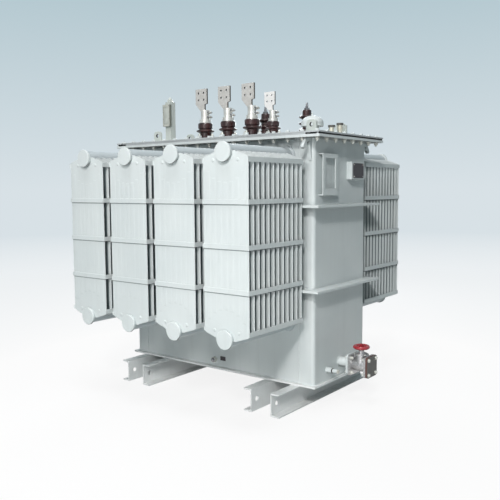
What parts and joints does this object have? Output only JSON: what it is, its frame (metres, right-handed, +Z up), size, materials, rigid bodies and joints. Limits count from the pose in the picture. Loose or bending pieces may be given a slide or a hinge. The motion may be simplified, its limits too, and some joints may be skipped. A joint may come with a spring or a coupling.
{
  "type": "oil-immersed power transformer",
  "caption": "Oil-immersed power transformer: bolted steel tank on skid channels, fluted panel radiators along both sides, porcelain bushings with palm terminals on the cover, drain valve.",
  "frame": {"origin": "middle of the bounding box, on the floor under the skids", "axes": "+X along the tank towards the drain valve, -Y the low-voltage side, +Z up"},
  "size_m": [1.817, 1.824, 2.001],
  "materials": {
    "grey_paint": "semi-gloss light grey enamel",
    "gasket": "matt nitrile",
    "porcelain": "glossy brown glaze",
    "tinned": "tinned, satin",
    "gauge_window": "satin cream",
    "brass": "satin",
    "dark_plate": "satin dark blank plate",
    "valve_metal": "cast, satin",
    "dark_iron": "dark primer",
    "red_paint": "gloss red enamel"
  },
  "bodies": {
    "tank": {"left_outer_skid": "grey_paint", "left_inner_skid": "grey_paint", "right_inner_skid": "grey_paint", "right_outer_skid": "grey_paint", "bottom_plate": "grey_paint", "front_wall": "grey_paint", "back_wall": "grey_paint", "left_end_wall": "grey_paint", "right_end_wall": "grey_paint", "tank_flange": "grey_paint", "cover_gasket": "gasket", "cover_plate": "grey_paint", "side_stiffeners": "grey_paint", "end_stiffeners": "grey_paint", "front_radiator_1": "grey_paint", "front_radiator_2": "grey_paint", "front_radiator_3": "grey_paint", "front_radiator_4": "grey_paint", "back_radiator_1": "grey_paint", "back_radiator_2": "grey_paint", "back_radiator_3": "grey_paint", "back_radiator_4": "grey_paint", "front_headers": "grey_paint", "back_headers": "grey_paint", "front_tie_bars": "grey_paint", "back_tie_bars": "grey_paint", "tank_lifting_hooks": "grey_paint", "cover_lifting_lugs": "grey_paint", "bushing_flanges": "grey_paint", "lv_bushings": "porcelain", "lv_terminals": "tinned", "hv_bushings": "porcelain", "hv_terminals": "tinned", "pressure_relief_valve": "grey_paint", "oil_gauge_post": "grey_paint", "oil_gauge_window": "gauge_window", "thermometer_pockets": "brass", "gauge_bracket": "grey_paint", "rating_plate_box": "grey_paint", "rating_plate": "dark_plate", "drain_pipe": "grey_paint", "drain_valve_body": "valve_metal", "drain_blank_flange": "dark_iron", "sampling_plug": "grey_paint", "earth_terminal": "tinned"},
    "handwheel": {"drain_handwheel": "red_paint"}
  },
  "joints": [
    {"name": "handwheel_turn", "type": "hinge", "parent": "tank", "child": "handwheel", "pos_m": [0.8355, 0, 0.352], "axis": [0, 0, 1], "range_deg": [0, 1620]}
  ]
}
